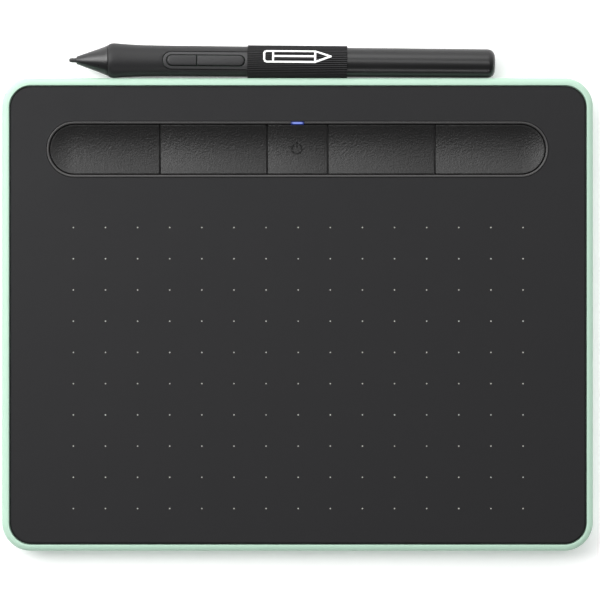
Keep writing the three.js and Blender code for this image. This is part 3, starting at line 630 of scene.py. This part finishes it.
def drawing_panel():
    """The panel with a rounded edge, a skirt that stands in the tray, and the key strip's opening."""
    rounding = 0.25
    edge, lip = -PANEL_EDGE - 0.33, -PANEL_EDGE + 0.15
    shoulder = arc((edge - rounding, PANEL_TOP - rounding), rounding, 0, 90, 5)
    panel = swept("panel", CASE, [(lip, 7.1), (lip, 7.6), (edge, 7.6), *shoulder], place=(*PANEL_SHIFT, 0))
    skirt = swept("skirt", CASE, [(-4.2, 5.9), (-4.2, 7.3), (-5.2, 7.3), (-5.2, 5.9)], True)
    loop_gap = block((-20, 60, 0), (20, 80, 9))
    socket_gap = block((-100, STRIP_Y - 5, 0), (-90, STRIP_Y + 5, 9))
    cut(outward(skirt), loop_gap, socket_gap)
    join(outward(panel), skirt)
    cut(panel, stadium("tool", [(9.52, 5), (9.52, 8.6), (9.6, 8.75), (9.6, 10)], steps=STRIP_STEPS))
    level_flats(soften(panel, 0))
    put(panel, TABLET, "tablet", "panel", PANEL, "top_cover")


def panel_dots():
    """The printed dots that mark the drawing area, as low discs on the panel."""
    columns, rows, width, depth, mid_x, mid_y = DOT_GRID
    levels = ((-0.01, DOT_R), (0.012, DOT_R), (0.02, DOT_R * 0.8))
    sides = DOT_SIDES
    points, faces = [], []
    for row in range(rows):
        for column in range(columns):
            x = mid_x + width * (column / (columns - 1) - 0.5)
            y = mid_y + depth * (row / (rows - 1) - 0.5)
            start = len(points)
            for lift, r in levels:
                points += [(px, py, PANEL_TOP + lift) for px, py in arc((x, y), r, 0, 360, sides)[:-1]]
            for a in (start, start + sides):
                for i in range(sides):
                    j = (i + 1) % sides
                    faces.append((a + i, a + j, a + sides + j, a + sides + i))
            faces.append(tuple(range(start + sides - 1, start - 1, -1)))
            faces.append(tuple(range(start + 2 * sides, start + 3 * sides)))
    put(make("panel_dots", points, faces), TABLET, "tablet", "panel", DOTS)


# ---- Key strip ----
def dish_z(across):
    """The height of the keys' dished top, at a distance from the strip's middle line."""
    r = (KEY_R**2 + KEY_DISH**2) / (2 * KEY_DISH)
    return KEY_LOW + r - math.sqrt(r**2 - across**2)


def key_bezel():
    """The ring round the keys: a rounded lip, a hidden flange, and bars under the gaps between the keys."""
    lip = [(9.45, 8.4), (9.42, 8.52), (9.34, 8.62), (9.2, 8.66), (8.98, 8.65), (8.76, 8.56), (8.64, 8.4),
           (8.6, 8.1)]
    hidden = [(8.6, 6.6), (9.15, 6.6), (9.15, 4.9), (7.4, 4.9), (7.4, 4.2), (10.75, 4.2), (10.75, 5.9),
              (11.65, 5.9), (11.65, 7.0), (9.45, 7.0)]
    ring = outward(stadium("bezel", [*lip, *hidden], closed=True, steps=STRIP_STEPS))
    slot_x, slot_y = WINDOW[0] + 0.05, WINDOW[1] + 0.03
    cut(ring, block((-slot_x, WINDOW_Y - slot_y, 4.0), (slot_x, WINDOW_Y + slot_y, 9.0)))
    bar_half, reach = 0.8, 7.6
    for x in KEY_SPLITS[1:-1]:
        join(ring, block((x - bar_half, STRIP_Y - reach, 4.2), (x + bar_half, STRIP_Y + reach, 4.6)))
    soften(ring, 0)
    put(ring, TABLET, "tablet", "frame", BEZEL, "key_frame")


def power_glyph():
    """The ring with a gap and the bar of the usual power symbol, as cutting tools."""
    radius, half_stroke = 1.66, 0.28
    gap_start, gap_end = 122, 418  # degrees, from one side of the gap round to the other
    bar_low, bar_high = 0.45, 2.25
    floor, top = KEY_LOW - 0.9, 9.0
    middle_x, middle_y = -0.2, STRIP_Y + 0.15
    outer = arc((0, 0), radius + half_stroke, gap_start, gap_end, 40)
    inner = arc((0, 0), radius - half_stroke, gap_end, gap_start, 40)
    outline = outer + inner
    count = len(outline)
    points = [(middle_x + x, middle_y + y, z) for z in (floor, top) for x, y in outline]
    faces = [(i, (i + 1) % count, count + (i + 1) % count, count + i) for i in range(count)]
    for level in (0, count):
        for i in range(len(outer) - 1):
            faces.append((level + i, level + i + 1, level + count - 2 - i, level + count - 1 - i))
    ring = outward(make("tool", points, faces))
    bar = block((middle_x - half_stroke, middle_y + bar_low, floor),
                (middle_x + half_stroke, middle_y + bar_high, top))
    return ring, bar


def key_section():
    """A key's section across the strip: its flange, its rounded edge and the dished top."""
    flange_r, flange_bottom, flange_top = KEY_FLANGE
    rim_z = dish_z(KEY_R)
    edge = [(KEY_R, rim_z - 0.28), (KEY_R - 0.03, rim_z - 0.16), (KEY_R - 0.12, rim_z - 0.09)]
    across = [0.3 + (KEY_R - 0.55) * k / KEY_STEPS for k in range(KEY_STEPS, -1, -1)]
    flange = [(flange_r, flange_bottom), (flange_r, flange_top), (KEY_R, flange_top)]
    return [*flange, *edge, *((a, dish_z(a)) for a in across)]


def strip_keys():
    """Five keys cut from one dished strip, each with a post that rests on its switch."""
    for i, name in enumerate(KEY_NAMES):
        x0, x1 = KEY_SPLITS[i] + KEY_GAP / 2, KEY_SPLITS[i + 1] - KEY_GAP / 2
        key = outward(stadium(name + "_cap", key_section(), steps=STRIP_STEPS))
        overlap(key, block((x0, STRIP_Y - 12, 5.0), (x1, STRIP_Y + 12, 12)))
        soften(key, 0.16, 3, 40)
        if name == "power_key":
            window_gap = block((-2.6, STRIP_Y + KEY_R + 0.02, 5), (2.6, STRIP_Y + 10, 8))
            cut(key, window_gap, *power_glyph())
        join(key, post_tool(SWITCH_XS[i], STRIP_Y, 5.3, 5.8, 0.9))
        soften(key, 0)
        put(key, TABLET, name, "key", KEYS, name)


def status_light():
    section = [(0, 4.35), (0, 8.52), (-0.03, 8.6), (-0.1, 8.64)]
    lens = swept("status_lens", WINDOW, section, steps=8, place=(0, WINDOW_Y, 0))
    put(lens, TABLET, "tablet", "clear", LENS, "light_guide")


# ---- Pen ----
def front_profile():
    """The grip barrel's outline: a rounded shoulder, the widest ring, and a long taper."""
    shoulder = smooth_line([(FRONT[0], 5.32), (13.0, 5.44), (13.4, 5.66), (13.9, 5.84)], 3)
    taper = smooth_line([(13.9, 5.84), (14.6, 5.9), (15.2, 5.89), (16.2, 5.82), (18.0, 5.67), (20.5, 5.53),
                         (24.5, 5.36), (32.0, 5.24), (45.0, 5.2), (FRONT[1], 5.08)], 5)
    return shoulder[:-1] + taper


def pen_nose_cone():
    """The nose cone, with a bore for the nib and a neck that enters the grip barrel."""
    start, end = NOSE
    outside = [(start, 1.0), (start, 1.12), (2.11, 1.26), (2.32, 1.4), (6.0, 2.72), (9.7, 4.02),
               (11.6, 4.78), (12.58, 5.2), (12.68, 5.22), (end, 5.16)]
    neck = [(end, 4.2), (17.0, 4.2), (17.0, 3.2), (10.2, 3.2), (8.5, 2.2), (5.5, 1.0)]
    cone = turned("nose_cone", outside + neck)
    soften(cone, 0, angle=24)
    put(cone, PEN, "pen", "pen", PEN_CONE, "pen_nose_cone")


def pen_front_barrel():
    """The grip barrel, a tube with a neck for the rear barrel and a slot for the side switch's plate."""
    start, end = FRONT
    neck = [(end, 4.0), (81.8, 4.0), (82.0, 3.8), (82.0, 3.3), (76.2, 3.3), (76.2, 3.95)]
    bore = [(17.4, 3.95), (17.4, 4.4), (start, 4.4)]
    barrel = outward(turned("front_barrel", [*front_profile(), *neck, *bore]))
    plate_slot = slot_tool(31.24, 63.56, 3.12, 3.15, 8)
    cut(barrel, plate_slot)
    soften(barrel, 0.07, 2, 40)
    put(barrel, PEN, "pen", "pen", PEN_GRIP, "pen_front_barrel")


def pen_switch_bezel():
    """The plate round the side switch: a slot's shape of the grip barrel's surface, with an opening."""
    start, end = FRONT
    plate = outward(turned("switch_bezel", [(start, 0), *front_profile(), (end, 0)]))
    plate_shape = slot_tool(31.48, 63.32, 2.87, 3.3, 8)
    switch_opening = slot_tool(32.54, 59.26, 1.98, 2, 8)
    overlap(plate, plate_shape)
    cut(plate, switch_opening)
    soften(plate, 0.1, 2, 40)
    put(plate, PEN, "pen", "pen", PEN_PLATE, "pen_switch_bezel")


def pen_switches():
    """The side switch's two halves, cut from one crowned rocker, each with a post for its tact switch."""
    rocker = (13.04, 1.68, 1.68)
    middle_x = 45.9
    crown = [(0, 3.0), (0, 5.12), (-0.07, 5.28), (-0.22, 5.41), (-0.5, 5.5), (-0.95, 5.56), (-1.5, 5.58)]
    for name, x0, x1, tact_x in SIDE_KEYS:
        key = outward(swept(name + "_cap", rocker, crown, place=(middle_x, 0, 0)))
        overlap(key, block((x0, -3, 0), (x1, 3, 8)))
        soften(key, 0.12, 3, 40)
        join(key, post_tool(tact_x, 0, 2.45, 3.3, 0.8))
        soften(key, 0)
        put(key, PEN, name, "pen", PEN_KEYS, name)


def pen_rear_barrel():
    """The tail: a slightly tapering tube, closed by a rounded end."""
    corner, end_r = 2.6, 4.9
    bore_start, bore_end, bore_r = 76.0, 141.0, 4.15
    tail = arc((PEN_END - corner, end_r - corner), corner, 90, 0, 14)
    outside = [(REAR_START, 5.0), (77.16, 5.06), (85.0, 5.035), (97.0, 5.0), *tail]
    bore = [(bore_start, 0), (bore_start, bore_r), (bore_end, bore_r), (bore_end, 0)]
    barrel = outward(turned("rear_barrel", [(REAR_START, 0), *outside, (PEN_END, 0)]))
    cut(barrel, outward(turned("tool", bore)))
    soften(barrel, 0, angle=32)
    put(barrel, PEN, "pen_rear_barrel", "pen", PEN_TAIL, "pen_rear_barrel")


def nibs():
    """The working nib and three spares, round rods with a worn-in domed tip."""
    spots = [("pen_nib", "pen_nib", NIB_START, 0.0, 0.0)]
    spare_start, off_axis = SPARE_NIBS
    for i, (y, z) in enumerate(arc((0, 0), off_axis, 90, 330, 2)):
        spots.append((f"spare_nib_{i + 1}", "pen", spare_start, y, z))
    quarter = [math.radians(15 * k) for k in range(7)]
    dome_length, dome_r = 0.7, 0.72
    for node, body, start, y, z in spots:
        dome = [(start + dome_length * (1 - math.cos(a)), dome_r * math.sin(a)) for a in quarter]
        end = start + NIB_LENGTH
        shaft = [(start + 1.4, 0.78), (start + 2.2, NIB_R), (end - 0.3, NIB_R), (end, 0.65), (end, 0)]
        rod = soften(turned(node + "_rod", [*dome, *shaft], NIB_SIDES), 0)
        rod.data.transform(Matrix.Translation((0, y, z)))
        put(rod, PEN, body, "nib", NIB, node)


# ---- Pen loop ----
def loop_line(centre):
    """The strip's middle line as (y, z) from the pen's axis: upper tail, round the pen, lower tail."""
    centre_y, centre_z = centre.y - TABLET.translation.y, centre.z
    r = LOOP_INNER + LOOP_THICKNESS / 2 + 0.01
    mouth = math.degrees(math.asin(LOOP_MOUTH / r))
    circle = arc((0, 0), r, 180 - mouth, -180 + mouth, LOOP_STEPS)
    upper, lower = (z - centre_z for z in TAIL_Z)
    inner_end, wall = (y - centre_y for y in TAIL_Y)
    tail = [inner_end + (wall - inner_end) * t / TAIL_STEPS for t in range(TAIL_STEPS + 1)]
    return [*((y, upper) for y in tail), *circle, *((y, lower) for y in reversed(tail))]


def ribbed_outline(line):
    """The strip's outline round its middle line, ribbed on the outside, and each point's rib height, which
    also sets the painted shade and highlight on the ribs.
    """
    half = LOOP_THICKNESS / 2
    first = TAIL_STEPS + 1
    outer, inner, heights = [], [], []
    for k, (y, z) in enumerate(line):
        a, b = line[max(k - 1, 0)], line[min(k + 1, len(line) - 1)]
        size = math.dist(a, b)
        normal_y, normal_z = (a[1] - b[1]) / size, (b[0] - a[0]) / size
        height, rib = 0.7, 0.0
        if first <= k < first + LOOP_STEPS + 1:
            height = abs(math.sin(math.pi * (k - first) / RIB_STEPS))
            rib = RIB_DEPTH * (height - 0.85)
        heights.append(height)
        outer.append((y + normal_y * (half + rib), z + normal_z * (half + rib)))
        inner.append((y - normal_y * half, z - normal_z * half))
    return outer + inner[::-1], heights + heights[::-1]


def strip_stations():
    """Places across the strip, closer together at its two selvedges."""
    half, selvedge, steps = LOOP_WIDTH / 2, 0.5, 24
    low, span = selvedge - half, LOOP_WIDTH - 2 * selvedge
    middle = [low + span * t / steps for t in range(1, steps)]
    return [-half, 0.12 - half, low, *middle, half - selvedge, half - 0.12, half]


def elastic_strip(line, outline):
    """The strip as a closed mesh, its outline drawn across the width and drawn in at both edges."""
    stations = strip_stations()
    count, half_count = len(outline), len(line)
    points, faces = [], []
    for x in stations:
        inset = 0.06 if x in (stations[0], stations[-1]) else 0.0
        for (y, z), middle in zip(outline, line + line[::-1]):
            size = math.dist((y, z), middle)
            scale = (size - inset) / size
            points.append((x, middle[0] + (y - middle[0]) * scale, middle[1] + (z - middle[1]) * scale))
    last = (len(stations) - 1) * count
    for a in range(0, last, count):
        b = a + count
        for k in range(count):
            j = (k + 1) % count
            faces.append((a + k, b + k, b + j, a + j))
    for a in (0, last):
        for k in range(half_count - 1):
            faces.append((a + k, a + k + 1, a + count - 2 - k, a + count - 1 - k))
    return outward(make("pen_loop_elastic", points, faces))


def pen_loop():
    """A strip of ribbed elastic that goes round the pen, both ends passing through the rear wall."""
    centre = PEN @ Vector((LOOP_MIDDLE, 0, 0))
    line = loop_line(centre)
    outline, heights = ribbed_outline(line)
    loop = elastic_strip(line, outline)
    # The rib heights go to the material, which paints shade in the grooves and a highlight on the crests.
    rib_painted_shade = loop.data.attributes.new("rib_painted_shade", "FLOAT", "POINT")
    rib_painted_shade.data.foreach_set("value", heights * len(strip_stations()))
    loop.data.shade_smooth()
    loop.data.set_sharp_from_angle(angle=math.radians(60))
    # The round part lies along the pen, and the tails stay level.
    tilt = PEN.to_3x3()
    blend_from, blend_over = -7.4, 2.6
    for vertex in loop.data.vertices:
        level = vertex.co.copy()
        share = min(1.0, max(0.0, (level.y - blend_from) / blend_over))
        vertex.co = centre + level.lerp(tilt @ level, share)
    put(loop, Matrix.Identity(4), "tablet", "fabric", ELASTIC, "pen_loop")


def on_loop(x, y, lift):
    """A point of the print, y along the loop's round from its mark's middle."""
    r = LOOP_OUTER + 0.01
    angle = y / r + math.radians(17)  # turned towards the rear
    return (x, (r + lift) * math.sin(angle), (r + lift) * math.cos(angle))


def pencil_pictogram():
    """A plain white outline of a pencil, printed on the loop."""
    stroke, half = 0.66, 1.95
    back, neck, tip = -11.2, 6.0, 11.2
    ferrule = back + 3.0
    corner, bend = 0.9, 0.26  # the pencil's back has rounded corners
    body = [(neck, half), (back + corner, half), (back + bend, half - bend), (back, half - corner)]
    lines = [
        [*body, *((x, -y) for x, y in reversed(body))],
        [(neck, half), (tip, 0), (neck, -half)],
        [(neck, half), (neck, -half)],
        [(ferrule, half), (ferrule, -half)],
        [(ferrule, 0), (neck, 0)],
    ]
    points, faces = [], []
    for a, b in (pair for line in lines for pair in zip(line, line[1:])):
        length = math.dist(a, b)
        ux, uy = (b[0] - a[0]) / length, (b[1] - a[1]) / length
        pieces = max(2, int(length / 0.5))
        start = len(points)
        for k in range(pieces + 1):
            t = (k / pieces) * (length + stroke * 0.8) - stroke * 0.4
            x, y = a[0] + ux * t, a[1] + uy * t
            for side, lift in ((-1, -0.03), (1, -0.03), (1, 0.05), (-1, 0.05)):
                points.append(on_loop(x - uy * side * stroke / 2, y + ux * side * stroke / 2, lift))
        last = start + 4 * pieces
        for here in range(start, last, 4):
            for e in range(4):
                faces.append((here + e, here + (e + 1) % 4, here + 4 + (e + 1) % 4, here + 4 + e))
        faces.append((start + 3, start + 2, start + 1, start))
        faces.append((last, last + 1, last + 2, last + 3))
    mark = outward(make("loop_pictogram", points, faces))
    put(mark, PEN @ Matrix.Translation((LOOP_MIDDLE, 0, 0)), "tablet", "fabric", PRINT)


# ---- CAD nodes that stay ----
CARRIED = {
    CHIP: ["controller_chip", "loop_clamp", "pen_chassis", "pen_tact_front", "pen_tact_rear", "nib_holder",
           "key_switch_1", "key_switch_2", "key_switch_3", "key_switch_4", "power_switch"],
    NIB: ["key_plunger_1", "key_plunger_2", "key_plunger_3", "key_plunger_4", "power_plunger"],
    STEEL: ["shield_plate", "radio_module", "usb_socket", "pen_pressure_sensor", "clamp_screw_left",
            "clamp_screw_right", "case_screw_front_left", "case_screw_front_right",
            "case_screw_rear_left", "case_screw_rear_right"],
    CIRCUIT: ["sensor_board", "control_board", "pen_board"],
    RUBBER: ["foot_front_left", "foot_front_right", "foot_rear_left", "foot_rear_right"],
    LABEL: ["rating_label"],
    FOIL: ["battery_cell"],
    WIRE: ["battery_lead"],
    RIBBON: ["sensor_ribbon"],
    COPPER: ["pen_coil"],
    FERRITE: ["pen_ferrite"],
    LED: ["status_led"],
}


def dress_cad_node(name, material):
    """Gives a CAD node that stays its material, and softens its edges with modifiers."""
    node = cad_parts[name]
    node.data.materials.clear()
    node.data.materials.append(material)
    low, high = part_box(name)
    thinnest = min(h - l for l, h in zip(low, high))
    weld = node.modifiers.new("weld", "WELD")
    weld.merge_threshold = 1e-6
    bevel = node.modifiers.new("bevel", "BEVEL")
    bevel.width = min(0.00015, 0.12 * thinnest)
    bevel.segments = 2
    bevel.limit_method = "ANGLE"
    bevel.angle_limit = math.radians(40)
    node.data.shade_smooth()
    node.data.set_sharp_from_angle(angle=math.radians(35))
    level_flats(node)


# ---- Room ----
def softbox(name, place, size, energy):
    """A rectangular light, metres and watts, aimed at the object."""
    light = bpy.data.lights.new(name, "AREA")
    light.shape = "RECTANGLE"
    light.size, light.size_y = size
    light.energy = energy
    obj = link(bpy.data.objects.new(name, light))
    obj.location = place
    obj.rotation_euler = (Vector((0, 0, 0.005)) - obj.location).to_track_quat("-Z", "Y").to_euler()


def studio_world():
    """White surroundings that brighten smoothly from the front, through overhead, to behind the object."""
    world = bpy.data.worlds.new("studio")
    world.use_nodes = True
    tree = world.node_tree
    background = tree.nodes["Background"]
    background.inputs["Color"].default_value = (1, 1, 1, 1)
    direction = tree.nodes.new("ShaderNodeTexCoord").outputs["Generated"]
    split = tree.nodes.new("ShaderNodeSeparateXYZ")
    tree.links.new(direction, split.inputs[0])
    level = split.outputs["Y"]
    for operation, value in (("MINIMUM", 0.7), ("MULTIPLY", 2.1), ("EXPONENT", 0.0), ("MULTIPLY", 0.345)):
        step = tree.nodes.new("ShaderNodeMath")
        step.operation = operation
        step.inputs[1].default_value = value
        tree.links.new(level, step.inputs[0])
        level = step.outputs[0]
    tree.links.new(level, background.inputs["Strength"])
    bpy.context.scene.world = world


def studio_floor():
    """A pale floor that glows faintly, so that the shadows on it stay light."""
    half = 4.0
    corners = [(-half, -half, 0), (half, -half, 0), (half, half, 0), (-half, half, 0)]
    floor = make("floor", corners, [(0, 1, 2, 3)])
    floor.location.z = -0.00004
    table = moulded("white_table", (0.93, 0.93, 0.93, 1), 0.8, 900.0, 0.00001, 0.01, 0.05,
                    Emission_Color=(1, 1, 1, 1), Emission_Strength=0.2)
    floor.data.materials.append(table)


def camera():
    """A long lens straight above the tablet."""
    data = bpy.data.cameras.new("camera")
    data.sensor_width = 36.0
    data.lens = 213.0
    obj = link(bpy.data.objects.new("camera", data))
    obj.location = (0.00086, -0.001055, 1.2087)
    bpy.context.scene.camera = obj


bpy.context.scene.view_settings.view_transform = "Standard"
studio_world()
softbox("rear_light", (-0.2, 0.6, 0.55), (0.8, 0.4), 1.9)
softbox("left_light", (-0.5, 0.2, 0.55), (0.4, 0.5), 3.9)
softbox("front_light", (0.1, -1.2, 0.64), (1.2, 0.1), 3.0)
softbox("overhead_light", (0.1, 0.22, 0.95), (0.9, 0.25), 1.75)
studio_floor()
camera()

base_shell()
drawing_panel()
panel_dots()
key_bezel()
strip_keys()
status_light()
pen_nose_cone()
pen_front_barrel()
pen_switch_bezel()
pen_switches()
pen_rear_barrel()
nibs()
pen_loop()
pencil_pictogram()
for material, names in CARRIED.items():
    for name in names:
        dress_cad_node(name, material)
